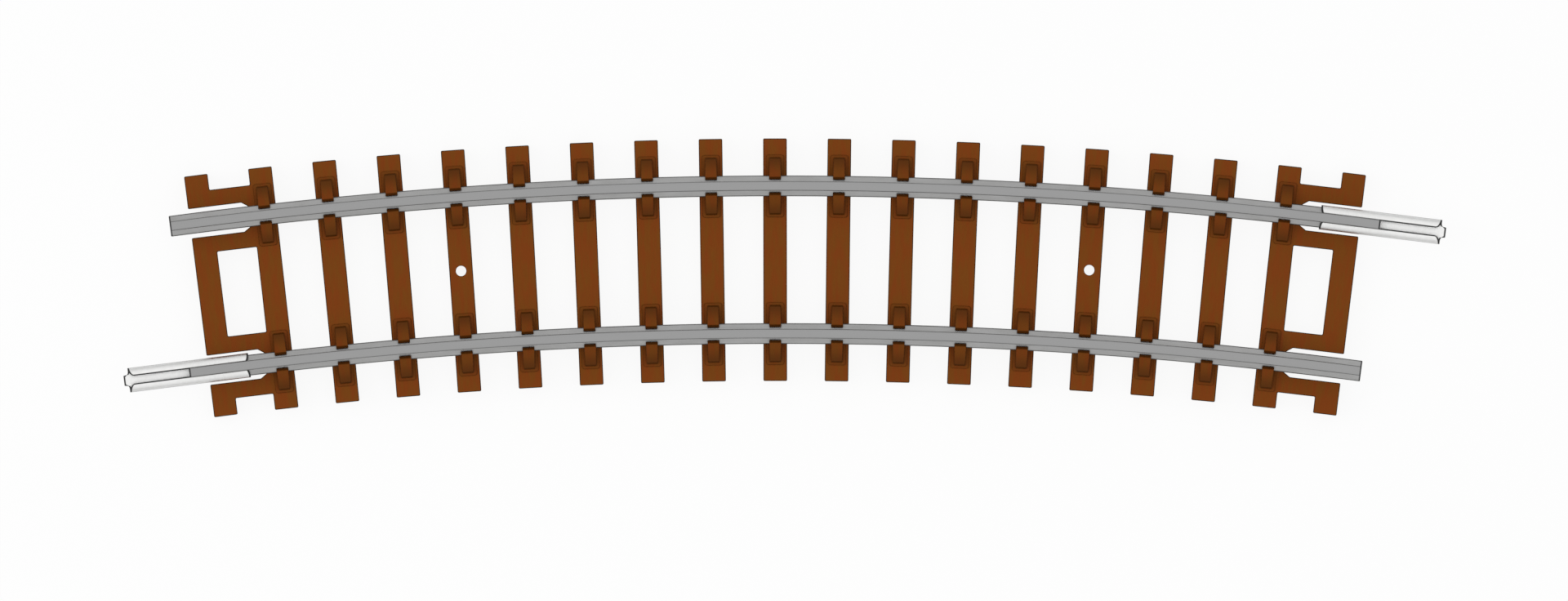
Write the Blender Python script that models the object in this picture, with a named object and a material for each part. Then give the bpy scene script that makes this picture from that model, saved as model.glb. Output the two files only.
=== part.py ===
"""Curved model railway track section, TT scale (1:120, 12 mm gauge), 396 mm radius, 15 degrees.

Frame: metres, +Z up. The origin is on the underside of the middle sleeper, on the track's
centre line. +X runs along the chord of the curve, +Y points away from the centre of the curve.
Plan positions are given as an angle along the curve from the middle sleeper (positive towards +X)
and a distance across the track from its centre line (positive outwards).
"""

import math

import bmesh
import bpy
from mathutils import Matrix, Vector

MM = 0.001

# The curve
RADIUS = 396.0 * MM
ARC = math.radians(15.0)
SLEEPERS = 19
PITCH = ARC / SLEEPERS
LAST_FULL = SLEEPERS // 2 - 2
CURVE_CENTRE = Vector((0.0, -RADIUS, 0.0))

# Rail section: gauge is measured between the heads
GAUGE = 12.0 * MM
HEAD_WIDTH = 0.82 * MM
RAIL_HEIGHT = 2.07 * MM
FOOT_WIDTH = 1.8 * MM
FOOT_EDGE = 0.18 * MM
WEB_WIDTH = 0.38 * MM
FOOT_RISE = 0.42 * MM
HEAD_START = 1.42 * MM
HEAD_SIDE = 1.56 * MM
HEAD_ROUND = 0.09 * MM
RAIL_OFFSET = GAUGE / 2 + HEAD_WIDTH / 2
RAIL_STEPS = 2 * SLEEPERS

# Sleeper moulding
SLEEPER_LENGTH = 21.05 * MM
SLEEPER_WIDTH = 2.05 * MM
SLEEPER_HEIGHT = 1.9 * MM
PLATE_REACH = 2.7 * MM
PLATE_WIDTH = 1.55 * MM
PLATE_HEIGHT = 0.15 * MM
GAP = 0.05 * MM
SINK = 0.3 * MM
RAIL_BASE = SLEEPER_HEIGHT + PLATE_HEIGHT + GAP

# Clip that laps over the rail foot, measured from the rail's centre line
CLIP_WIDTH = 1.08 * MM
CLIP_NARROWING = 0.05
CLIP_DRAFT = 0.12
CLIP_TIP = 0.58 * MM
CLIP_CREST = 0.8 * MM
CLIP_HEEL = 2.38 * MM
CLIP_END = 2.5 * MM
CLIP_NOSE = 0.09 * MM
CLIP_TOP = 0.8 * MM
CLIP_HEEL_HEIGHT = 0.42 * MM

# Webs under the rails that join each sleeper to the next
WEB_BAR_WIDTH = 1.3 * MM
WEB_BAR_LOW = 0.8 * MM
WEB_BAR_HIGH = 1.7 * MM

# Nail holes in the fifth sleeper from each end
NAIL_HOLE = 0.9 * MM
HOLE_SIDES = 24
NAILED = (-5, 5)

# End frames: two sleepers joined by bars on both sides of each rail
SLOT_HALF = 1.27 * MM
SLOT_FLARE_START = 1.95 * MM
SLOT_FLARE_END = 1.4 * MM
SLOT_BOTTOM_HALF = 0.9 * MM

# Sheet joiners, folded round the rail foot
SHEET = 0.12 * MM
JOINER_PLAY = 0.04 * MM
JOINER_ON_RAIL = 5.25 * MM
JOINER_LENGTH = 10.55 * MM
JOINER_LIP = 0.33 * MM
JOINER_MOUTH = 0.72 * MM
MOUTH_LENGTH = 0.36 * MM
MOUTH_STEPS = 4
TONGUE_LENGTH = 0.42 * MM
TONGUE_WIDTH = 0.96 * MM
TONGUE_THINNING = 0.9
BEND_STEPS = 3

# Edges that turn by more than this stay sharp in the shading
SHARP_EDGE = math.radians(35.0)

# Colours
MOULDED_BROWN = (0.18, 0.048, 0.009)
NICKEL_SILVER = (0.33, 0.33, 0.33)
BRIGHT_SHEET = (0.8, 0.8, 0.8)


def clear_scene():
    for item in list(bpy.data.objects):
        bpy.data.objects.remove(item, do_unlink=True)


def material(name, colour, roughness, metallic):
    made = bpy.data.materials.new(name)
    made.use_nodes = True
    shader = made.node_tree.nodes["Principled BSDF"]
    shader.inputs["Base Color"].default_value = (*colour, 1.0)
    shader.inputs["Roughness"].default_value = roughness
    shader.inputs["Metallic"].default_value = metallic
    return made


def on_curve(angle, across=0.0, height=0.0):
    """The transform of a piece that sits on the curve, its X axis along the track."""
    radius = RADIUS + across
    spot = CURVE_CENTRE + Vector((radius * math.sin(angle), radius * math.cos(angle), height))
    return Matrix.Translation(spot) @ Matrix.Rotation(-angle, 4, "Z")


def box(low, high):
    """A box from its lowest corner to its highest."""
    low, high = Vector(low), Vector(high)
    form = bmesh.new()
    size = Matrix.Diagonal((*(high - low), 1.0))
    bmesh.ops.create_cube(form, size=1.0, matrix=Matrix.Translation((low + high) / 2) @ size)
    return form


def prism(outline, low, high):
    """A plan outline raised from one height to another."""
    form = bmesh.new()
    base = form.faces.new([form.verts.new((x, y, low)) for x, y in outline])
    raised = bmesh.ops.extrude_face_region(form, geom=[base])["geom"]
    corners = [item for item in raised if isinstance(item, bmesh.types.BMVert)]
    bmesh.ops.translate(form, vec=(0.0, 0.0, high - low), verts=corners)
    return form


def loft(rings):
    """A closed skin over rings that hold the same number of points, capped at both ends."""
    form = bmesh.new()
    rows = [[form.verts.new(point) for point in ring] for ring in rings]
    count = len(rows[0])
    for row, following in zip(rows, rows[1:]):
        for i in range(count):
            j = (i + 1) % count
            form.faces.new((row[i], row[j], following[j], following[i]))
    form.faces.new(rows[0])
    form.faces.new(rows[-1])
    return form


def mesh_of(name, form):
    """The finished mesh of a bmesh, its faces pointing out."""
    bmesh.ops.recalc_face_normals(form, faces=form.faces)
    made = bpy.data.meshes.new(name)
    form.to_mesh(made)
    form.free()
    return made


def fused(name, solids, cutters=()):
    """One mesh: the first solid joined with the others, less the cutters, by Boolean modifiers."""
    forms = [*solids, *cutters]
    pieces = [bpy.data.objects.new(name, mesh_of(name, form)) for form in forms]
    for piece in pieces:
        bpy.context.scene.collection.objects.link(piece)
    body = pieces[0]
    for index, piece in enumerate(pieces[1:], start=1):
        step = body.modifiers.new(f"step_{index}", "BOOLEAN")
        step.operation = "UNION" if index < len(solids) else "DIFFERENCE"
        step.solver = "EXACT"
        step.object = piece
    bpy.context.view_layer.update()
    graph = bpy.context.evaluated_depsgraph_get()
    result = bpy.data.meshes.new_from_object(body.evaluated_get(graph))
    for piece in pieces:
        bpy.data.objects.remove(piece, do_unlink=True)
    result.name = name
    return result


def node(name, mesh, finish, place):
    """Puts a mesh in the scene as a named piece."""
    piece = bpy.data.objects.new(name, mesh)
    bpy.context.scene.collection.objects.link(piece)
    if not mesh.materials:
        mesh.materials.append(finish)
    piece.matrix_world = place
    return piece


def shade_round(mesh):
    mesh.shade_smooth()
    mesh.set_sharp_from_angle(angle=SHARP_EDGE)


# ---------------------------------------------------------------- chairs and webs


def foot_top(across):
    """Height of the rail foot's sloping top above the rail's underside."""
    foot, web = FOOT_WIDTH / 2, WEB_WIDTH / 2
    return FOOT_EDGE + (FOOT_RISE - FOOT_EDGE) * (foot - across) / (foot - web)


def clip(rail, side):
    """The wedge that laps over one edge of the rail foot: a side view carried across the sleeper."""
    top = SLEEPER_HEIGHT
    under = RAIL_BASE + GAP
    wall = FOOT_WIDTH / 2 + GAP
    section = (
        (CLIP_TIP, under + foot_top(CLIP_TIP)),
        (wall, under + foot_top(wall)),
        (wall, top - SINK),
        (CLIP_END, top - SINK),
        (CLIP_END, top + PLATE_HEIGHT),
        (CLIP_HEEL, top + CLIP_HEEL_HEIGHT),
        (CLIP_CREST, top + CLIP_TOP),
        (CLIP_TIP, under + foot_top(CLIP_TIP) + CLIP_NOSE),
    )

    def half_width(across, height):
        rise = max(0.0, height - top)
        return CLIP_WIDTH / 2 - CLIP_NARROWING * (across - CLIP_TIP) - CLIP_DRAFT * rise

    return loft(
        [(end * half_width(y, z), rail + side * y, z) for y, z in section] for end in (-1, 1)
    )


def chairs():
    """Two baseplates, each with a clip on both sides of its rail."""
    forms = []
    for rail in (-RAIL_OFFSET, RAIL_OFFSET):
        half, top = PLATE_WIDTH / 2, SLEEPER_HEIGHT
        low = (-half, rail - PLATE_REACH, top - SINK)
        forms.append(box(low, (half, rail + PLATE_REACH, top + PLATE_HEIGHT)))
        forms += [clip(rail, side) for side in (-1, 1)]
    return forms


def half_webs(ends):
    """The webs under both rails, from the sleeper to half-way to its neighbours."""
    forms = []
    for rail in (-RAIL_OFFSET, RAIL_OFFSET):
        reach = (RADIUS + rail) * math.sin(PITCH / 2) - GAP / 2
        for end in ends:
            along = sorted((end * (SLEEPER_WIDTH / 2 - SINK), end * reach))
            low = (along[0], rail - WEB_BAR_WIDTH / 2, WEB_BAR_LOW)
            forms.append(box(low, (along[1], rail + WEB_BAR_WIDTH / 2, WEB_BAR_HIGH)))
    return forms


# ---------------------------------------------------------------- sleepers


def sleeper_mesh(nailed):
    half_width, half_length = SLEEPER_WIDTH / 2, SLEEPER_LENGTH / 2
    bar = box((-half_width, -half_length, 0.0), (half_width, half_length, SLEEPER_HEIGHT))
    cutters = []
    if nailed:
        hole = bmesh.new()
        depth = 2 * SLEEPER_HEIGHT
        bmesh.ops.create_cone(
            hole,
            cap_ends=True,
            segments=HOLE_SIDES,
            radius1=NAIL_HOLE / 2,
            radius2=NAIL_HOLE / 2,
            depth=depth,
            matrix=Matrix.Translation((0.0, 0.0, SLEEPER_HEIGHT / 2)),
        )
        cutters.append(hole)
    return fused("sleeper", [bar, *chairs(), *half_webs((-1, 1))], cutters)


def end_frame_mesh(end):
    """The last two sleepers and the bars between them, drawn in the plan of the inner one.

    The last sleeper is cut through under each rail, which leaves a slot for the joiner."""
    width, length = SLEEPER_WIDTH / 2, SLEEPER_LENGTH / 2
    rail, bar = RAIL_OFFSET, PLATE_REACH
    to_centre = Matrix.Translation((0.0, RADIUS, 0.0))
    to_last = to_centre.inverted() @ Matrix.Rotation(-PITCH, 4, "Z") @ to_centre

    def last(x, y):
        """A point given in the plan of the last sleeper."""
        return tuple((to_last @ Vector((x, y, 0.0))).xy)

    def slot(centre):
        """One slot, from its mouth on the -Y side round to its mouth on the +Y side."""
        return [
            last(width, centre - SLOT_HALF),
            (SLOT_FLARE_START, centre - SLOT_HALF),
            (SLOT_FLARE_END, centre - SLOT_BOTTOM_HALF),
            (SLOT_FLARE_END, centre + SLOT_BOTTOM_HALF),
            (SLOT_FLARE_START, centre + SLOT_HALF),
            last(width, centre + SLOT_HALF),
        ]

    outline = [
        (-width, -length),
        (width, -length),
        (width, -rail - bar),
        last(-width, -rail - bar),
        last(-width, -length),
        last(width, -length),
        *slot(-rail),
        *slot(rail),
        last(width, length),
        last(-width, length),
        last(-width, rail + bar),
        (width, rail + bar),
        (width, length),
        (-width, length),
    ]
    window = [
        (width, bar - rail),
        last(-width, bar - rail),
        last(-width, rail - bar),
        (width, rail - bar),
    ]

    def turned(points):
        return [(end * x, y) for x, y in points]

    plate = prism(turned(outline), 0.0, SLEEPER_HEIGHT)
    cutter = prism(turned(window), -SLEEPER_HEIGHT, 2 * SLEEPER_HEIGHT)
    return fused("end_frame", [plate, *chairs(), *half_webs((-end,))], [cutter])


# ---------------------------------------------------------------- rails and joiners


def rail_mesh(across):
    """The flat-bottomed section spun about the centre of the curve."""
    start = on_curve(-ARC / 2, across, RAIL_BASE)
    foot, web, head = FOOT_WIDTH / 2, WEB_WIDTH / 2, HEAD_WIDTH / 2
    half = (
        (foot, 0.0),
        (foot, FOOT_EDGE),
        (web, FOOT_RISE),
        (web, HEAD_START),
        (head, HEAD_SIDE),
        (head, RAIL_HEIGHT - HEAD_ROUND),
        (head - HEAD_ROUND, RAIL_HEIGHT),
    )
    section = [*half, *((-y, z) for y, z in reversed(half))]
    form = bmesh.new()
    corners = [form.verts.new(start @ Vector((0.0, y, z))) for y, z in section]
    form.faces.new(corners)
    bmesh.ops.spin(
        form,
        geom=form.faces[:],
        cent=CURVE_CENTRE,
        axis=(0.0, 0.0, -1.0),
        angle=ARC,
        steps=RAIL_STEPS,
    )
    made = mesh_of("rail", form)
    shade_round(made)
    return made


def joiner_section(lip):
    """The folded sheet seen along the rail: both its faces keep a constant distance from the foot.

    Each half goes along the floor, round the foot's lower and upper edges, and up its slope to
    `lip`."""
    foot, web = FOOT_WIDTH / 2, WEB_WIDTH / 2
    slope = math.atan2(FOOT_RISE - FOOT_EDGE, foot - web)

    def half(distance):
        points = []
        for height, start, stop in ((0.0, -math.pi / 2, 0.0), (FOOT_EDGE, 0.0, math.pi / 2 - slope)):
            for i in range(BEND_STEPS + 1):
                turn = start + (stop - start) * i / BEND_STEPS
                spot = (foot + distance * math.cos(turn), height + distance * math.sin(turn))
                points.append(spot)
        points.append((lip, foot_top(lip) + distance / math.cos(slope)))
        return points

    right = [*half(JOINER_PLAY + SHEET), *reversed(half(JOINER_PLAY))]
    return [*right, *((-y, z) for y, z in reversed(right))]


def joiner_mesh():
    """The fishplate joiner, in its own frame: X out along the rail, zero in the middle of its grip."""
    low = -JOINER_ON_RAIL / 2
    high = low + JOINER_LENGTH
    turns = [math.pi / 2 * i / MOUTH_STEPS for i in range(MOUTH_STEPS + 1)]
    mouth = JOINER_MOUTH - JOINER_LIP
    near = [
        (low + MOUTH_LENGTH * (1 - math.cos(turn)), JOINER_MOUTH - mouth * math.sin(turn))
        for turn in turns
    ]
    far = [(high - (along - low), lip) for along, lip in reversed(near)]
    rings = [[(along, y, z) for y, z in joiner_section(lip)] for along, lip in (*near, *far)]
    floor = -JOINER_PLAY - SHEET / 2
    half_sheet = TONGUE_THINNING * SHEET / 2
    tongue = box(
        (high - 2 * MOUTH_LENGTH, -TONGUE_WIDTH / 2, floor - half_sheet),
        (high + TONGUE_LENGTH, TONGUE_WIDTH / 2, floor + half_sheet),
    )
    made = fused("joiner", [loft(rings), tongue])
    shade_round(made)
    return made


# ---------------------------------------------------------------- the whole section


def main():
    clear_scene()
    plastic = material("moulded_brown", MOULDED_BROWN, 0.6, 0.0)
    rail_metal = material("nickel_silver", NICKEL_SILVER, 0.35, 1.0)
    sheet_metal = material("bright_sheet", BRIGHT_SHEET, 0.3, 1.0)

    plain, nailed = sleeper_mesh(False), sleeper_mesh(True)
    for index in range(-LAST_FULL, LAST_FULL + 1):
        number = index + SLEEPERS // 2 + 1
        mesh = nailed if index in NAILED else plain
        node(f"sleeper_{number:02d}", mesh, plastic, on_curve(index * PITCH))
    for name, end in (("end_frame_left", -1), ("end_frame_right", 1)):
        place = on_curve(end * (LAST_FULL + 1) * PITCH)
        node(name, end_frame_mesh(end), plastic, place)

    node("outer_rail", rail_mesh(RAIL_OFFSET), rail_metal, Matrix())
    node("inner_rail", rail_mesh(-RAIL_OFFSET), rail_metal, Matrix())

    folded = joiner_mesh()
    for name, end in (("joiner_left", -1), ("joiner_right", 1)):
        across = end * RAIL_OFFSET
        grip = JOINER_ON_RAIL / 2 / (RADIUS + across)
        place = on_curve(end * (ARC / 2 - grip), across, RAIL_BASE)
        if end < 0:
            place = place @ Matrix.Rotation(math.pi, 4, "Z")
        node(name, folded, sheet_metal, place)


main()
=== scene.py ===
"""Looks of a curved model track section: moulded sleeper base, drawn rails, folded joiners.

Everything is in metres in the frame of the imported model. Plan positions are worked out as an angle
along the curve, positive towards +X, and a distance across the track, positive outwards.
"""

import math

import bpy
import numpy as np
from mathutils import Matrix, Vector


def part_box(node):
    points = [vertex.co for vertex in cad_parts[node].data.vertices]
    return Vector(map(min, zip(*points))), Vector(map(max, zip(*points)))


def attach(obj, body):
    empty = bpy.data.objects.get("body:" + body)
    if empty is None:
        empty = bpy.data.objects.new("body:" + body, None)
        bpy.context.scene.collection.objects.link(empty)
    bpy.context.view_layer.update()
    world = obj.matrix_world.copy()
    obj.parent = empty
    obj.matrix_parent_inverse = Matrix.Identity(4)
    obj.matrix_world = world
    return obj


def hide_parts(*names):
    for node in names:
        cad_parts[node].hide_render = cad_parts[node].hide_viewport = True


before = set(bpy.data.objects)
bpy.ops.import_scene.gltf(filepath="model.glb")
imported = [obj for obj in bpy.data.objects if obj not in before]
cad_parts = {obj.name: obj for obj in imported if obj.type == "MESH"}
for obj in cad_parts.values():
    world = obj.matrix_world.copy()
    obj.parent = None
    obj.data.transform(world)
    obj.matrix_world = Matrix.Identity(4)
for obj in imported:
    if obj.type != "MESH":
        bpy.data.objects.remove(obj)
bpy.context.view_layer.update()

MM = 0.001

# Edges that turn by more than this stay sharp
SHARP_ANGLE = math.radians(40)

# The curve, as designed
RADIUS = 396.0 * MM
ARC = math.radians(15.0)
SLEEPERS = 19
PITCH = ARC / SLEEPERS
LAST_FULL = SLEEPERS // 2 - 2
NAILED = (-5, 5)

# Heights that the frame gives
RAIL_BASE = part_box("outer_rail")[0].z
RAIL_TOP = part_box("outer_rail")[1].z
RAIL_HEIGHT = RAIL_TOP - RAIL_BASE
SLEEPER_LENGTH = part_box("sleeper_10")[1].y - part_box("sleeper_10")[0].y

# Rail section
GAUGE = 12.0 * MM
HEAD_WIDTH = 0.82 * MM
FOOT_WIDTH = 1.8 * MM
FOOT_EDGE = 0.18 * MM
FOOT_RISE = 0.42 * MM
WEB_WIDTH = 0.38 * MM
HEAD_START = 1.42 * MM
HEAD_SIDE = 1.56 * MM
HEAD_CROWN = 0.02 * MM
SAWN_CHAMFER = 0.045 * MM
RAIL_STATIONS = 229
RAIL_OFFSET = GAUGE / 2 + HEAD_WIDTH / 2

# Moulding
SLEEPER_WIDTH = 2.05 * MM
SLEEPER_HEIGHT = 1.9 * MM
PLATE_REACH = 2.7 * MM
PLATE_WIDTH = 1.55 * MM
PLATE_HEIGHT = 0.15 * MM
PLATE_SUNK = 0.3 * MM
PLATE_CORNER = 0.22 * MM
PLATE_EDGE = 0.07 * MM
MOULD_EDGE = 0.08 * MM
MOULD_CORNER = 0.11 * MM
NAIL_HOLE = 0.9 * MM
NAIL_HOLE_EDGE = 0.04 * MM
WEB_BAR_WIDTH = 1.3 * MM
WEB_BAR_LOW = 0.8 * MM
WEB_BAR_HIGH = 1.7 * MM
WEB_BAR_SUNK = 0.4 * MM
WEB_BAR_CORNER = 0.08 * MM
WEB_BAR_EDGE = 0.002 * MM
SLOT_HALF = 1.27 * MM
SLOT_FLARE_START = 1.95 * MM
SLOT_FLARE_END = 1.4 * MM
SLOT_BOTTOM_HALF = 0.9 * MM

# Clip over the rail foot, measured from the rail's centre line
CLIP_WIDTH = 1.08 * MM
CLIP_TIP = 0.58 * MM
CLIP_CREST = 0.8 * MM
CLIP_HEEL = 2.36 * MM
CLIP_END = 2.5 * MM
CLIP_TOP = 0.78 * MM
CLIP_HEEL_HEIGHT = 0.42 * MM
CLIP_CLEAR = 0.05 * MM
CLIP_SUNK = 0.4 * MM
CLIP_NOSE = 0.1 * MM
CLIP_LEAN = 0.03
CLIP_EDGE = 0.06 * MM

# Joiner sheet
SHEET = 0.12 * MM
JOINER_PLAY = 0.04 * MM
JOINER_ON_RAIL = 5.25 * MM
JOINER_LENGTH = 10.55 * MM
JOINER_LIP = 0.33 * MM
CURL_START = 0.12 * MM
CURL_RISE = 0.39 * MM
MOUTH_LENGTH = 0.55 * MM
MOUTH_DEPTH = 0.8 * MM
TONGUE_LENGTH = 0.42 * MM
TONGUE_HALF = 0.46 * MM
TONGUE_FLANK = 0.08 * MM
HEEL_REACH = 0.28 * MM
HEEL_RISE = 0.12 * MM
CUT_EDGE = 0.025 * MM
# A cut end's dark band, unplated metal with painted shade, is wider than a side's: the distance from
# an end counts by this share
END_BAND_SHARE = 0.75


# ---------------------------------------------------------------- outlines and solids


def unit(vectors):
    return vectors / np.linalg.norm(vectors, axis=-1, keepdims=True)


def rounded(corners, radii, steps=5):
    """A closed outline in which an arc that touches both sides stands for each corner.

    With h half the angle between the sides, the centre lies r / sin h along their bisector, and
    the arc's points turn evenly from one touching point to the other."""
    corners = np.array(corners, float)
    radius = np.broadcast_to(radii, len(corners))[:, None]
    back = unit(np.roll(corners, 1, axis=0) - corners)
    ahead = unit(np.roll(corners, -1, axis=0) - corners)
    half = np.arccos((back * ahead).sum(axis=1))[:, None] / 2
    centre = corners + unit(back + ahead) * radius / np.sin(half)
    first = corners + back * radius / np.tan(half) - centre
    last = corners + ahead * radius / np.tan(half) - centre
    sweep = (np.pi - 2 * half)[:, None]
    share = np.linspace(0, 1, steps + 1)[None, :, None]
    from_first = np.sin((1 - share) * sweep) * first[:, None]
    from_last = np.sin(share * sweep) * last[:, None]
    return (centre[:, None] + (from_first + from_last) / np.sin(sweep)).reshape(-1, 2)


def inset(outline, depth):
    """The outline with every side moved inwards by `depth`.

    A point moves along the sum of its two sides' normals over one plus their dot product."""
    side = np.roll(outline, -1, axis=0) - outline
    normal = unit(np.column_stack((side[:, 1], -side[:, 0])))
    before = np.roll(normal, 1, axis=0)
    mitre = (normal + before) / (1 + (normal * before).sum(axis=1, keepdims=True))
    return outline - depth * mitre


def tube(rings):
    """Points and faces of a skin over rings (k x m x 3), with a flat cap on the first and last."""
    count, around = rings.shape[:2]
    index = np.arange(count * around).reshape(count, around)
    after = np.roll(index, -1, axis=1)
    quads = np.stack((index[:-1], after[:-1], after[1:], index[1:]), axis=-1).reshape(-1, 4)
    caps = [index[0, ::-1].tolist(), index[-1].tolist()]
    return rings.reshape(-1, 3), quads.tolist() + caps


def slab(outline, low, high, edge, steps=3):
    """An outline raised from low to high, its two rims rounded by quarter circles of radius `edge`.

    At the angle t of a rim the outline is inset by edge (1 - sin t) and raised by edge (1 - cos t).
    A negative edge flares the rims outwards, as on a cutter that leaves a rounded hole."""
    turn = np.linspace(0, np.pi / 2, steps + 1)
    size = abs(edge)
    depth = edge * np.concatenate((1 - np.sin(turn), 1 - np.cos(turn)))
    rise = np.concatenate((low + size * (1 - np.cos(turn)), high - size * (1 - np.sin(turn))))
    rings = np.empty((len(rise), len(outline), 3))
    for ring, inwards, height in zip(rings, depth, rise):
        ring[:, :2] = inset(outline, inwards)
        ring[:, 2] = height
    return tube(rings)


def rectangle(low, high):
    return [low, (high[0], low[1]), high, (low[0], high[1])]


def lying(solid):
    """A solid drawn with its outline in YZ and its thickness along X."""
    points, faces = solid
    return points[:, [2, 0, 1]], faces


def turned(solid, about):
    """A solid after half a turn about the upright line through (0, about)."""
    points, faces = solid
    return np.array((0, 2 * about, 0)) + points * (-1, -1, 1), faces


def mesh_of(name, solid):
    points, faces = solid
    made = bpy.data.meshes.new(name)
    made.from_pydata(points, [], faces)
    made.update()
    return made


def fused(name, solids, cutters=()):
    """One closed mesh: the solids joined into the first, then the cutters taken away."""
    forms = [bpy.data.objects.new(name, mesh_of(name, one)) for one in (*solids, *cutters)]
    for form in forms:
        bpy.context.scene.collection.objects.link(form)
    for index, form in enumerate(forms[1:], start=1):
        step = forms[0].modifiers.new(f"step_{index}", "BOOLEAN")
        step.operation = "UNION" if index < len(solids) else "DIFFERENCE"
        step.solver = "EXACT"
        step.object = form
    graph = bpy.context.evaluated_depsgraph_get()
    made = bpy.data.meshes.new_from_object(forms[0].evaluated_get(graph))
    for form in forms:
        bpy.data.objects.remove(form, do_unlink=True)
    return made


def on_curve(angle, across=0.0, height=0.0):
    """The transform of a piece on the curve, its X axis along the track."""
    radius = RADIUS + across
    spot = Vector((radius * math.sin(angle), radius * math.cos(angle) - RADIUS, height))
    return Matrix.Translation(spot) @ Matrix.Rotation(-angle, 4, "Z")


def add_piece(name, mesh, finish, node, body):
    """Puts a finished mesh in the scene in place of its CAD node."""
    piece = bpy.data.objects.new(name, mesh)
    bpy.context.scene.collection.objects.link(piece)
    mesh.materials.clear()
    mesh.materials.append(finish)
    mesh.shade_smooth()
    mesh.set_sharp_from_angle(angle=SHARP_ANGLE)
    weighting = piece.modifiers.new("flat_faces_stay_flat", "WEIGHTED_NORMAL")
    weighting.keep_sharp = True
    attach(piece, body)
    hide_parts(node)


# ---------------------------------------------------------------- moulding


def foot_top(across):
    """Height of the rail foot's sloping top above the rail's underside."""
    foot, web = FOOT_WIDTH / 2, WEB_WIDTH / 2
    return FOOT_EDGE + (FOOT_RISE - FOOT_EDGE) * (foot - across) / (foot - web)


def clip(rail, side):
    """The wedge that laps over the rail foot: a side view carried across the sleeper.

    Its sides lean in by a share of the height above the sleeper, and it narrows away from the
    rail."""
    under = RAIL_BASE + CLIP_CLEAR
    wall = FOOT_WIDTH / 2 + CLIP_CLEAR
    sunk = SLEEPER_HEIGHT - CLIP_SUNK
    corners = (
        (wall, sunk),
        (CLIP_END, sunk),
        (CLIP_END, SLEEPER_HEIGHT + PLATE_HEIGHT),
        (CLIP_HEEL, SLEEPER_HEIGHT + CLIP_HEEL_HEIGHT),
        (CLIP_CREST, SLEEPER_HEIGHT + CLIP_TOP),
        (CLIP_TIP, under + foot_top(CLIP_TIP) + CLIP_NOSE),
        (CLIP_TIP, under + foot_top(CLIP_TIP)),
        (wall, under + foot_top(wall)),
    )
    radii = np.array((0.07, 0.07, 0.07, 0.12, 0.1, 0.065, 0.065, 0.03)) * MM
    half = CLIP_WIDTH / 2
    points, faces = slab(rounded(corners, radii, 4), -half, half, CLIP_EDGE)
    across, height, along = points.T
    lean = CLIP_LEAN * np.clip(height - SLEEPER_HEIGHT, 0, None) + CLIP_LEAN * (across - CLIP_TIP)
    along *= 1 - lean / half
    points[:, 0] += rail
    form = lying((points, faces))
    return form if side > 0 else turned(form, rail)


def chairs():
    """Two baseplates with a clip on both sides of each rail."""
    forms = []
    for rail in (-RAIL_OFFSET, RAIL_OFFSET):
        half = PLATE_WIDTH / 2
        plan = rectangle((-half, rail - PLATE_REACH), (half, rail + PLATE_REACH))
        low, high = SLEEPER_HEIGHT - PLATE_SUNK, SLEEPER_HEIGHT + PLATE_HEIGHT
        forms.append(slab(rounded(plan, PLATE_CORNER, 6), low, high, PLATE_EDGE))
        forms += [clip(rail, side) for side in (-1, 1)]
    return forms


def half_webs(ends):
    """The webs under both rails, from inside the sleeper to half-way to its neighbours."""
    forms = []
    for rail in (-RAIL_OFFSET, RAIL_OFFSET):
        reach = (RADIUS + rail) * math.sin(PITCH / 2)
        half = WEB_BAR_WIDTH / 2
        for end in ends:
            low, high = sorted((end * (SLEEPER_WIDTH / 2 - WEB_BAR_SUNK), end * reach))
            plan = rectangle((rail - half, WEB_BAR_LOW), (rail + half, WEB_BAR_HIGH))
            outline = rounded(plan, WEB_BAR_CORNER, 3)
            forms.append(lying(slab(outline, low, high, WEB_BAR_EDGE, 1)))
    return forms


def hole(outline, edge):
    """A cutter that leaves rounded rims at the sleeper's underside and top."""
    return slab(outline, 0.0, SLEEPER_HEIGHT, -edge)


def sleeper_mesh(nailed):
    half = SLEEPER_WIDTH / 2
    plan = rectangle((-half, -SLEEPER_LENGTH / 2), (half, SLEEPER_LENGTH / 2))
    bar = slab(rounded(plan, MOULD_CORNER), 0.0, SLEEPER_HEIGHT, MOULD_EDGE)
    turn = np.linspace(0, 2 * np.pi, 48, endpoint=False)
    ring = NAIL_HOLE / 2 * np.column_stack((np.cos(turn), np.sin(turn)))
    cutters = [hole(ring, NAIL_HOLE_EDGE)] if nailed else []
    return fused("sleeper", [bar, *chairs(), *half_webs((-1, 1))], cutters)


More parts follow.
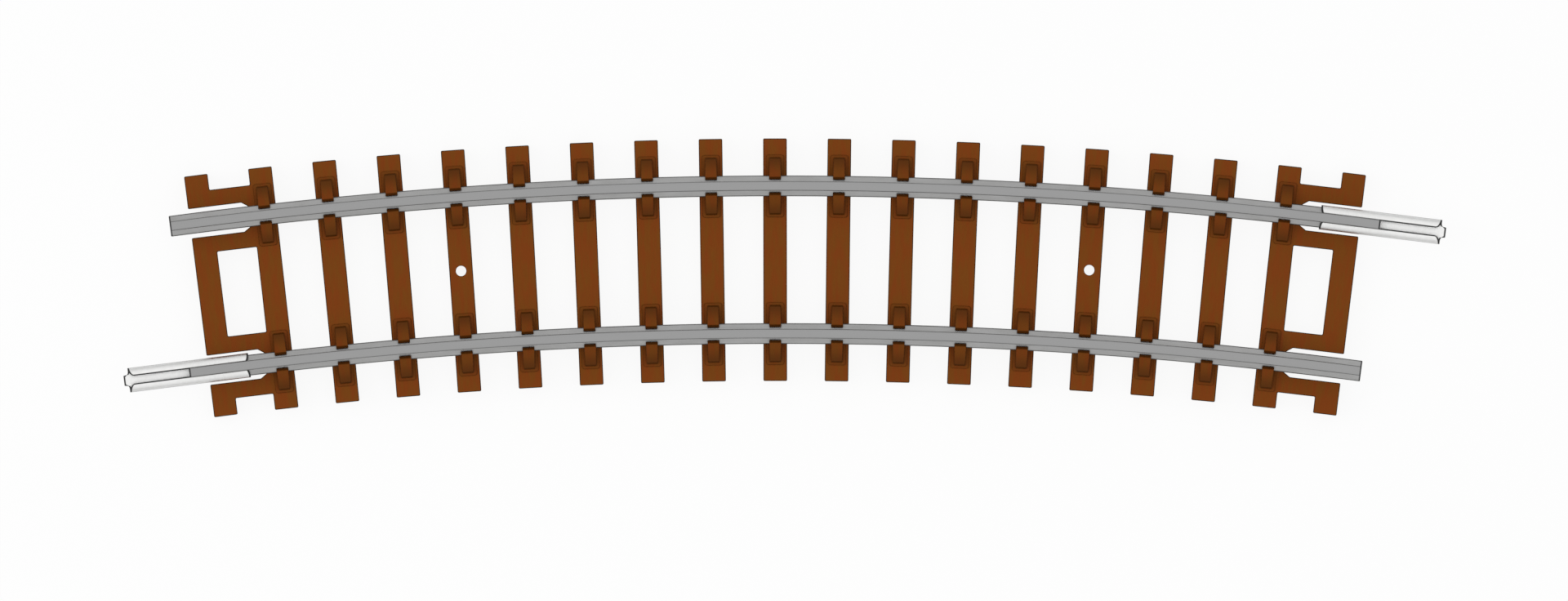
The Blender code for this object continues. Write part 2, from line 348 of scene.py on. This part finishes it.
def end_frame_mesh(end):
    """The last two sleepers with the bars between them, drawn in the plan of the inner one.

    The last sleeper stops on both sides of each rail and leaves a slot for the joiner."""
    width, length = SLEEPER_WIDTH / 2, SLEEPER_LENGTH / 2
    rail, bar = RAIL_OFFSET, PLATE_REACH
    middle = Matrix.Translation((0, RADIUS, 0))
    shift = middle.inverted() @ Matrix.Rotation(-PITCH, 4, "Z") @ middle

    def last(x, y):
        """A point of the last sleeper, given in that sleeper's own plan."""
        return tuple((shift @ Vector((x, y, 0.0))).xy)

    def slot(centre):
        return [
            last(width, centre - SLOT_HALF),
            (SLOT_FLARE_START, centre - SLOT_HALF),
            (SLOT_FLARE_END, centre - SLOT_BOTTOM_HALF),
            (SLOT_FLARE_END, centre + SLOT_BOTTOM_HALF),
            (SLOT_FLARE_START, centre + SLOT_HALF),
            last(width, centre + SLOT_HALF),
        ]

    def side(sign):
        """One end of both sleepers and the notch between them, walked towards +X for sign -1."""
        points = [
            (-width, sign * length),
            (width, sign * length),
            (width, sign * (rail + bar)),
            last(-width, sign * (rail + bar)),
            last(-width, sign * length),
            last(width, sign * length),
        ]
        return points if sign < 0 else points[::-1]

    window = [
        (width, bar - rail),
        last(-width, bar - rail),
        last(-width, rail - bar),
        (width, rail - bar),
    ]
    plans = [np.array(plan) for plan in ([*side(-1), *slot(-rail), *slot(rail), *side(1)], window)]
    if end < 0:
        plans = [plan[::-1] * (-1, 1) for plan in plans]
    plate = slab(rounded(plans[0], MOULD_CORNER), 0.0, SLEEPER_HEIGHT, MOULD_EDGE)
    cutter = hole(rounded(plans[1], MOULD_CORNER), MOULD_EDGE)
    return fused("end_frame", [plate, *chairs(), *half_webs((-end,))], [cutter])


# ---------------------------------------------------------------- rails


def rail_outline():
    """The flat-bottomed rail seen along its length: foot, web and head.

    Each corner of a half is its distance across and its height, both in metres, and its fillet's
    radius in millimetres. A wide arc in the middle of the head makes its crown."""
    foot, web, head = FOOT_WIDTH / 2, WEB_WIDTH / 2, HEAD_WIDTH / 2
    half = (
        (foot, 0.0, 0.05),
        (foot, FOOT_EDGE, 0.16),
        (web, FOOT_RISE, 0.16),
        (web, HEAD_START, 0.1),
        (head, HEAD_SIDE, 0.06),
        (head, RAIL_HEIGHT - HEAD_CROWN, 0.11),
    )
    left = [(-across, rise, radius) for across, rise, radius in reversed(half)]
    across, rise, radius = np.array([*half, (0.0, RAIL_HEIGHT, 1.5), *left]).T
    return rounded(np.column_stack((across, rise)), radius * MM, 7)


def rail_mesh(name, offset):
    """The section carried round the curve; its sawn ends have a small chamfer."""
    section = rail_outline()
    radius = RADIUS + offset
    end = ARC / 2 - SAWN_CHAMFER / radius
    inner = np.linspace(-end, end, RAIL_STATIONS)
    angles = np.concatenate(([-ARC / 2], inner, [ARC / 2]))
    rings = np.empty((len(angles), len(section), 3))
    for ring, angle in zip(rings, angles):
        across, rise = (inset(section, SAWN_CHAMFER) if abs(angle) == ARC / 2 else section).T
        ring[:, 0] = (radius + across) * math.sin(angle)
        ring[:, 1] = (radius + across) * math.cos(angle) - RADIUS
        ring[:, 2] = RAIL_BASE + rise
    return mesh_of(name, tube(rings))


# ---------------------------------------------------------------- joiners


def sheet_path():
    """Points on the middle of the sheet's thickness from lip to lip, and the way out at each.

    Half of it is a flat floor, a quarter circle under the foot's edge, a short upright and a
    quarter ellipse over the foot's top. The rows stand closer where the blank's ends bend: beside
    and along the tongue's flanks, at its heel and at the lips. Returned with them: how far along
    the sheet each point lies from the middle of the floor, and how far the lips do."""
    foot = FOOT_WIDTH / 2
    gap = JOINER_PLAY + SHEET / 2
    span = foot + gap - JOINER_LIP
    flank = TONGUE_HALF + np.linspace(-0.5, 0.5, 7) * TONGUE_FLANK
    heel = TONGUE_HALF + np.linspace(0.25, 1, 4) * HEEL_REACH
    side = TONGUE_HALF - np.array((0.2, 0.16, 0.12, 0.08)) * MM
    floor = np.unique(np.concatenate((np.linspace(0, foot, 12), side, flank, heel)))
    bend = np.linspace(-np.pi / 2, 0, 9)
    near_lip = np.pi / 2 - MOUTH_DEPTH / span * (1 - np.sin(np.linspace(0, np.pi / 2, 15)))
    curl = np.concatenate((np.linspace(0, near_lip[0], 9)[:-1], near_lip))
    spot = np.concatenate(
        (
            np.column_stack((floor, floor * 0 - gap)),
            np.column_stack((foot + gap * np.cos(bend[1:]), gap * np.sin(bend[1:]))),
            np.column_stack(
                (JOINER_LIP + span * np.cos(curl), CURL_START + CURL_RISE * np.sin(curl))
            ),
        )
    )
    out = np.concatenate(
        (
            np.column_stack((floor * 0, floor * 0 - 1)),
            np.column_stack((np.cos(bend[1:]), np.sin(bend[1:]))),
            unit(np.column_stack((np.cos(curl) / span, np.sin(curl) / CURL_RISE))),
        )
    )
    steps = np.linalg.norm(np.diff(spot, axis=0), axis=1)
    run = np.concatenate(([0], np.cumsum(steps)))
    mirror = np.array((-1, 1))
    both = [np.concatenate((part[:0:-1] * mirror, part)) for part in (spot, out)]
    return *both, np.concatenate((run[:0:-1], run)), run[-1]


def sheet_strip():
    """The sheet's thickness seen from the side: its two ends rounded, its long sides in steps.

    It is drawn 1 mm long, because only the distances from its ends are used. Returned as each
    point's distance from its own end, whether that end is the far one, and its height."""
    length = 1.0 * MM
    ends = rounded(rectangle((0.0, -SHEET / 2), (length, SHEET / 2)), CUT_EDGE, 3)
    near_low, far_low, far_high, near_high = ends.reshape(4, -1, 2)
    depth = np.array((0.04, 0.08, 0.12, 0.2, 0.4)) * MM
    low = np.column_stack(
        (np.concatenate((depth, length - depth[::-1])), np.full(2 * len(depth), -SHEET / 2))
    )
    high = low[::-1] * (1, -1)
    place, rise = np.concatenate((near_low, low, far_low, far_high, high, near_high)).T
    far = place > length / 2
    return np.where(far, length - place, place), far, rise


def joiner_shape():
    """A flat blank folded round the foot: X out along the rail, zero in the middle of its grip.

    One parameter runs across the blank from lip to lip, the other round its thin edge section. The
    blank's ends move with the distance across it. The far one has a tongue at the floor, whose
    flanks are smooth steps f f (3 - 2 f), and beside it a heel that falls away as a parabola. At
    each lip both ends draw back by a quarter of an ellipse, the near one half as far. Also
    returned: each point's distance from the nearest cut edge, an end, a lip or the tongue's
    flank."""
    spot, out, run, reach = sheet_path()
    depth, far, rise = sheet_strip()
    low = -JOINER_ON_RAIL / 2
    high = low + JOINER_LENGTH
    from_lip = reach - run
    share = np.clip(1 - from_lip / MOUTH_DEPTH, 0, 1)
    mouth = MOUTH_LENGTH * (1 - np.sqrt(1 - share * share))
    flank = np.clip((TONGUE_HALF - run) / TONGUE_FLANK + 0.5, 0, 1)
    heel = np.clip(1 - (run - TONGUE_HALF) / HEEL_REACH, 0, 1)
    tongue = (TONGUE_LENGTH - HEEL_RISE) * flank * flank * (3 - 2 * flank)
    tongue = tongue + HEEL_RISE * heel * heel
    start, stop = low + 0.5 * mouth, high - mouth + tongue
    along = np.where(far, stop[:, None] - depth, start[:, None] + depth)
    place = spot[:, None] + out[:, None] * rise[None, :, None]
    rings = np.concatenate((along[..., None], place), axis=2)
    from_flank = np.clip(TONGUE_HALF - run, 0, None)[:, None]
    from_side = np.where(along > high + HEEL_RISE, from_flank, reach)
    from_end = END_BAND_SHARE * depth[None, :]
    from_cut = np.minimum(np.minimum(from_end, from_lip[:, None]), from_side)
    points, faces = tube(rings)
    return points, faces, from_cut.ravel()


def joiner_mesh(name, end):
    points, faces, from_cut = joiner_shape()
    grip = JOINER_ON_RAIL / 2 / (RADIUS + end * RAIL_OFFSET)
    place = on_curve(end * (ARC / 2 - grip), end * RAIL_OFFSET, RAIL_BASE)
    if end < 0:
        place = place @ Matrix.Rotation(math.pi, 4, "Z")
    made = mesh_of(name, (points, faces))
    blank = made.attributes.new("blank", "FLOAT_VECTOR", "POINT")
    blank.data.foreach_set("vector", (points / MM).astype(np.float32).ravel())
    bare_edge_and_shade = made.attributes.new("from_cut", "FLOAT", "POINT")
    bare_edge_and_shade.data.foreach_set("value", (from_cut / MM).astype(np.float32))
    made.transform(place)
    return made


# ---------------------------------------------------------------- finishes


class Wire:
    """An output of a finish's node; arithmetic on it adds Math nodes."""

    def __init__(self, finish, socket):
        self.finish = finish
        self.socket = socket

    def math(self, operation, *values):
        return self.finish.node("ShaderNodeMath", {"operation": operation}, dict(enumerate(values)))

    def __add__(self, other):
        return self.math("ADD", self, other)

    def __sub__(self, other):
        return self.math("SUBTRACT", self, other)

    def __rsub__(self, other):
        return self.math("SUBTRACT", other, self)

    def __mul__(self, other):
        return self.math("MULTIPLY", self, other)

    __radd__ = __add__
    __rmul__ = __mul__

    def size(self):
        return self.math("ABSOLUTE", self)

    def between(self, low, high):
        """0 below low, 1 above high, and a smooth step in between."""
        settings = {"interpolation_type": "SMOOTHSTEP"}
        return self.finish.node(
            "ShaderNodeMapRange", settings, {"Value": self, "From Min": low, "From Max": high}
        )


class Finish:
    """A material or world in the making. `node` adds any node and wires its inputs."""

    def __init__(self, name, kind="materials", shader="Principled BSDF"):
        self.made = getattr(bpy.data, kind).new(name)
        self.made.use_nodes = True
        self.tree = self.made.node_tree
        self.shader = self.tree.nodes[shader]

    def feed(self, socket, value):
        if isinstance(value, Wire):
            self.tree.links.new(value.socket, socket)
        else:
            socket.default_value = value

    def node(self, kind, settings=None, inputs=None, output=0):
        made = self.tree.nodes.new(kind)
        for name, value in (settings or {}).items():
            setattr(made, name, value)
        for key, value in (inputs or {}).items():
            self.feed(made.inputs[key], value)
        return Wire(self, made.outputs[output])

    def set(self, **values):
        """Sets the surface shader's inputs, spaces in their names written as underscores."""
        for name, value in values.items():
            self.feed(self.shader.inputs[name.replace("_", " ")], value)

    def track_place(self):
        """Millimetres along the curve, across the track and up from the base."""
        place = self.node("ShaderNodeTexCoord", output="Object")
        parts = [self.node("ShaderNodeSeparateXYZ", inputs={0: place}, output=i) for i in range(3)]
        x, y, height = (part * (1 / MM) for part in parts)
        radius = RADIUS / MM
        y = y + radius
        along = x.math("ARCTAN2", x, y) * radius
        across = (x * x + y * y).math("SQRT", x * x + y * y) - radius
        return along, across, height

    def steepness(self, low, high):
        """0 on a level face and 1 on an upright one, by how far the surface tilts."""
        normal = self.node("ShaderNodeNewGeometry", output="Normal")
        up = self.node("ShaderNodeSeparateXYZ", inputs={0: normal}, output="Z")
        return (1 - up.size()).between(low, high)

    def noise(self, place, detail=3.0, roughness=0.55):
        """Noise over a place given as three values, about one feature to each unit."""
        vector = self.node("ShaderNodeCombineXYZ", inputs=dict(enumerate(place)))
        inputs = {"Vector": vector, "Scale": 1.0, "Detail": detail, "Roughness": roughness}
        return self.node("ShaderNodeTexNoise", inputs=inputs)

    def tint(self, share, first, second):
        """A colour between two, by a share from 0 to 1."""
        inputs = {0: share, 6: first, 7: second}
        return self.node("ShaderNodeMix", {"data_type": "RGBA"}, inputs, output=2)

    def relief(self, height, depth):
        """The surface normal over bumps of the given depth in metres."""
        inputs = {"Strength": 1.0, "Distance": depth, "Height": height}
        return self.node("ShaderNodeBump", inputs=inputs)


def moulded_brown():
    """Brown polystyrene from a fine-eroded mould.

    Its hue drifts in soft streaks along each sleeper. Painted shade darkens the plates a little and
    the clips more low down, fading out to none at their crests, and darkens the clips' tips beside
    the rail.
    Flanks carry painted shade and are darker than tops, and a sleeper's upper arris, just below its
    top, is painted nearly black as shade. In millimetres the plates' tops lie at 2.05, the clips'
    heels at 2.32 and their crests at 2.68."""
    look = Finish("moulded_brown")
    along, across, height = look.track_place()
    streak = look.noise((along * 1.6, across * 0.35, height * 1.6), 3.0)
    grain = look.noise((along * 9.0, across * 0.9, height * 9.0), 4.0)
    pores = look.noise((along * 26.0, across * 26.0, height * 26.0), 2.0)
    # Painted shade: the plates a little and the clips more low down, fading out to none at their
    # crests, and the clips' tips beside the rail
    chair = height.between(1.92, 2.04) * 0.3 + height.between(2.1, 2.2) * 0.5
    from_rail = (across.size() - RAIL_OFFSET / MM).size()
    tip = (1 - from_rail.between(0.74, 0.84)) * 0.75
    chair_and_tip_shade = tip.math("MAXIMUM", tip, chair * (1 - height.between(2.28, 2.7)))
    russet, umber = (0.196, 0.042, 0.0026, 1), (0.177, 0.051, 0.0031, 1)
    colour = look.tint(streak.between(0.35, 0.65), russet, umber)
    colour = look.tint(grain.between(0.35, 0.75) * 0.3, colour, (0.16, 0.038, 0.002, 1))
    # Painted shade colour for the chairs and the clips' tips
    colour = look.tint(chair_and_tip_shade, colour, (0.07, 0.021, 0.0015, 1))
    # Painted shade on the flanks, darker than the tops
    colour = look.tint(look.steepness(0.05, 0.5) * 0.6, colour, (0.055, 0.016, 0.0011, 1))
    top = SLEEPER_HEIGHT / MM
    # Painted shade: a nearly black band on the sleeper's upper arris, just below its top
    rim = height.between(top - 0.25, top - 0.1) * (1 - height.between(top - 0.004, top + 0.004))
    colour = look.tint(rim * look.steepness(0.003, 0.04), colour, (0.01, 0.004, 0.001, 1))
    look.set(
        Base_Color=colour,
        Roughness=0.5 + pores * 0.12 + chair_and_tip_shade * 0.08,
        Specular_IOR_Level=0.09,
        Normal=look.relief(grain * 0.6 + pores * 0.4, 0.012 * MM),
    )
    return look.made


def drawn_rail():
    """Nickel-silver rail with draw lines along its length.

    Its foot is painted lighter than its head, as painted light against the shade that the head and
    web cast on it. Its flanks carry painted shade, strongest at the head's shoulders and the foot's
    edges, which are also rougher, and its sawn ends are dark."""
    look = Finish("drawn_rail")
    along, across, height = look.track_place()
    lines = look.noise((along * 0.12, across * 34.0, height * 34.0), 5.0, 0.7)
    cloud = look.noise((along * 0.5, across * 1.5, height * 1.5), 3.0)
    top, base = RAIL_TOP / MM, RAIL_BASE / MM
    share = (lines * 0.5 + cloud * 0.5).between(0.3, 0.7)
    colour = look.tint(share, (0.36, 0.359, 0.354, 1), (0.43, 0.43, 0.429, 1))
    # Painted light: the foot is left lighter than the head to offset the shade that the head and web
    # cast on it
    colour = look.tint(height.between(top - 0.4, top - 0.3), colour, (0.325, 0.325, 0.325, 1))
    # Painted shade on steep faces, strongest at the head's shoulders and the foot's edges; the same
    # mask makes them rougher
    shoulder = height.between(top - 0.2, top - 0.14)
    foot_edge = 1 - height.between(base + 0.2, base + 0.26)
    dull_and_shaded = look.steepness(0.07, 0.3) * (0.25 + 0.75 * shoulder + 1.1 * foot_edge)
    colour = look.tint(dull_and_shaded * 0.65, colour, (0.11, 0.11, 0.108, 1))
    half = RADIUS * ARC / 2 / MM
    sawn = along.size().between(half - 0.16, half - 0.08)
    colour = look.tint(sawn * 0.95, colour, (0.03, 0.03, 0.03, 1))
    look.set(
        Base_Color=colour,
        Metallic=1.0,
        Roughness=0.34 + lines * 0.14 + dull_and_shaded * 0.1,
        Normal=look.relief(lines, 0.004 * MM),
    )
    return look.made


def bright_sheet():
    """Bright rolled sheet: fine lines along the joiner, handling marks, unplated matt cut edges with
    painted shade beside them, and painted shade on its steep faces.
    """
    look = Finish("bright_sheet")
    place = look.node("ShaderNodeAttribute", {"attribute_name": "blank"}, output="Vector")
    x, y, z = (look.node("ShaderNodeSeparateXYZ", inputs={0: place}, output=i) for i in range(3))
    from_cut = look.node("ShaderNodeAttribute", {"attribute_name": "from_cut"}, output="Fac")
    lines = look.noise((x * 0.5, y * 22.0, z * 22.0), 4.0, 0.65)
    marks = look.noise((x * 3.0, y * 3.0, z * 3.0), 5.0)
    share = (lines * 0.55 + marks * 0.45).between(0.32, 0.68)
    # Dark band at the cut edges: the unplated metal of the cut, with painted shade beside the lips
    # and ends
    bare_edge_and_shade = 1 - from_cut.between(0.075, 0.13)
    colour = look.tint(share, (0.8, 0.8, 0.79, 1), (0.9, 0.9, 0.895, 1))
    # Painted shade on the steep faces, such as the curls' outer bends
    colour = look.tint(look.steepness(0.2, 0.85) * 0.8, colour, (0.18, 0.18, 0.18, 1))
    colour = look.tint(bare_edge_and_shade, colour, (0.035, 0.035, 0.035, 1))
    look.set(
        Base_Color=colour,
        Metallic=1.0,
        Roughness=0.28 + lines * 0.14 + marks * 0.08 + bare_edge_and_shade * 0.15,
        Normal=look.relief(lines, 0.003 * MM),
    )
    return look.made


# ---------------------------------------------------------------- the object


def build():
    brown, rail_metal, sheet_metal = moulded_brown(), drawn_rail(), bright_sheet()
    forms = {False: sleeper_mesh(False), True: sleeper_mesh(True)}
    for index in range(-LAST_FULL, LAST_FULL + 1):
        node = f"sleeper_{index + SLEEPERS // 2 + 1:02d}"
        mesh = forms[index in NAILED].copy()
        mesh.transform(on_curve(index * PITCH))
        add_piece(f"moulded_{node}", mesh, brown, node, "track")
    for node, end in (("end_frame_left", -1), ("end_frame_right", 1)):
        mesh = end_frame_mesh(end)
        mesh.transform(on_curve(end * (LAST_FULL + 1) * PITCH))
        add_piece(f"moulded_{node}", mesh, brown, node, "track")
    for node, side in (("outer_rail", 1), ("inner_rail", -1)):
        add_piece(f"drawn_{node}", rail_mesh(node, side * RAIL_OFFSET), rail_metal, node, "track")
    for side, end in (("left", -1), ("right", 1)):
        node, body = f"joiner_{side}", f"{side}_joiner"
        add_piece(f"folded_{node}", joiner_mesh(node, end), sheet_metal, node, body)


# ---------------------------------------------------------------- floor, light and camera

# Brightness of the overhead light at the horizon and straight above, and of the open background
HORIZON = 0.42
ZENITH = 1.12
BACKGROUND = 0.98
FLOOR_GLOW = 0.908
FLOOR_HALF = 1.5
FLOOR_DROP = 0.01 * MM
LAMP_PLACE = (-0.6, 0.1, 0.45)
EYE_PLACE = (0.765 * MM, -3.54 * MM, 0.4)
EYE_TURN = math.radians(-0.08)
VIEW_WIDTH = 136.1 * MM


def studio():
    """A pale floor under an even overhead light that falls off towards the horizon."""
    look = Finish("pale_floor")
    look.set(
        Base_Color=(0.08, 0.08, 0.08, 1),
        Roughness=0.9,
        Specular_IOR_Level=0.0,
        Emission_Color=(1, 1, 1, 1),
        Emission_Strength=FLOOR_GLOW,
    )
    plan = np.array(rectangle((-FLOOR_HALF, -FLOOR_HALF), (FLOOR_HALF, FLOOR_HALF)))
    corners = np.column_stack((plan, np.full(4, -FLOOR_DROP)))
    mesh = mesh_of("floor", (corners, [[0, 1, 2, 3]]))
    mesh.materials.append(look.made)
    floor = bpy.data.objects.new("floor", mesh)
    bpy.context.scene.collection.objects.link(floor)

    sky = Finish("overhead", "worlds", "Background")
    direction = sky.node("ShaderNodeTexCoord", output="Generated")
    up = sky.node("ShaderNodeSeparateXYZ", inputs={0: direction}, output="Z")
    level = HORIZON + (ZENITH - HORIZON) * up.math("MAXIMUM", up, 0.0)
    seen = sky.node("ShaderNodeLightPath", output="Is Camera Ray")
    sky.set(Color=(1, 1, 1, 1), Strength=level * (1 - seen) + BACKGROUND * seen)
    bpy.context.scene.world = sky.made

    lamp = bpy.data.lights.new("soft_key", "AREA")
    lamp.shape = "DISK"
    lamp.size = 0.5
    lamp.energy = 1.0
    key = bpy.data.objects.new("soft_key", lamp)
    key.location = LAMP_PLACE
    key.visible_glossy = False
    key.rotation_euler = (-key.location).to_track_quat("-Z", "Y").to_euler()
    bpy.context.scene.collection.objects.link(key)


def camera():
    """Straight down, with the whole section in the frame."""
    data = bpy.data.cameras.new("above")
    data.type = "ORTHO"
    data.ortho_scale = VIEW_WIDTH
    eye = bpy.data.objects.new("above", data)
    eye.location = EYE_PLACE
    eye.rotation_euler.z = EYE_TURN
    bpy.context.scene.collection.objects.link(eye)
    bpy.context.scene.camera = eye
    bpy.context.scene.view_settings.view_transform = "Standard"


build()
studio()
camera()
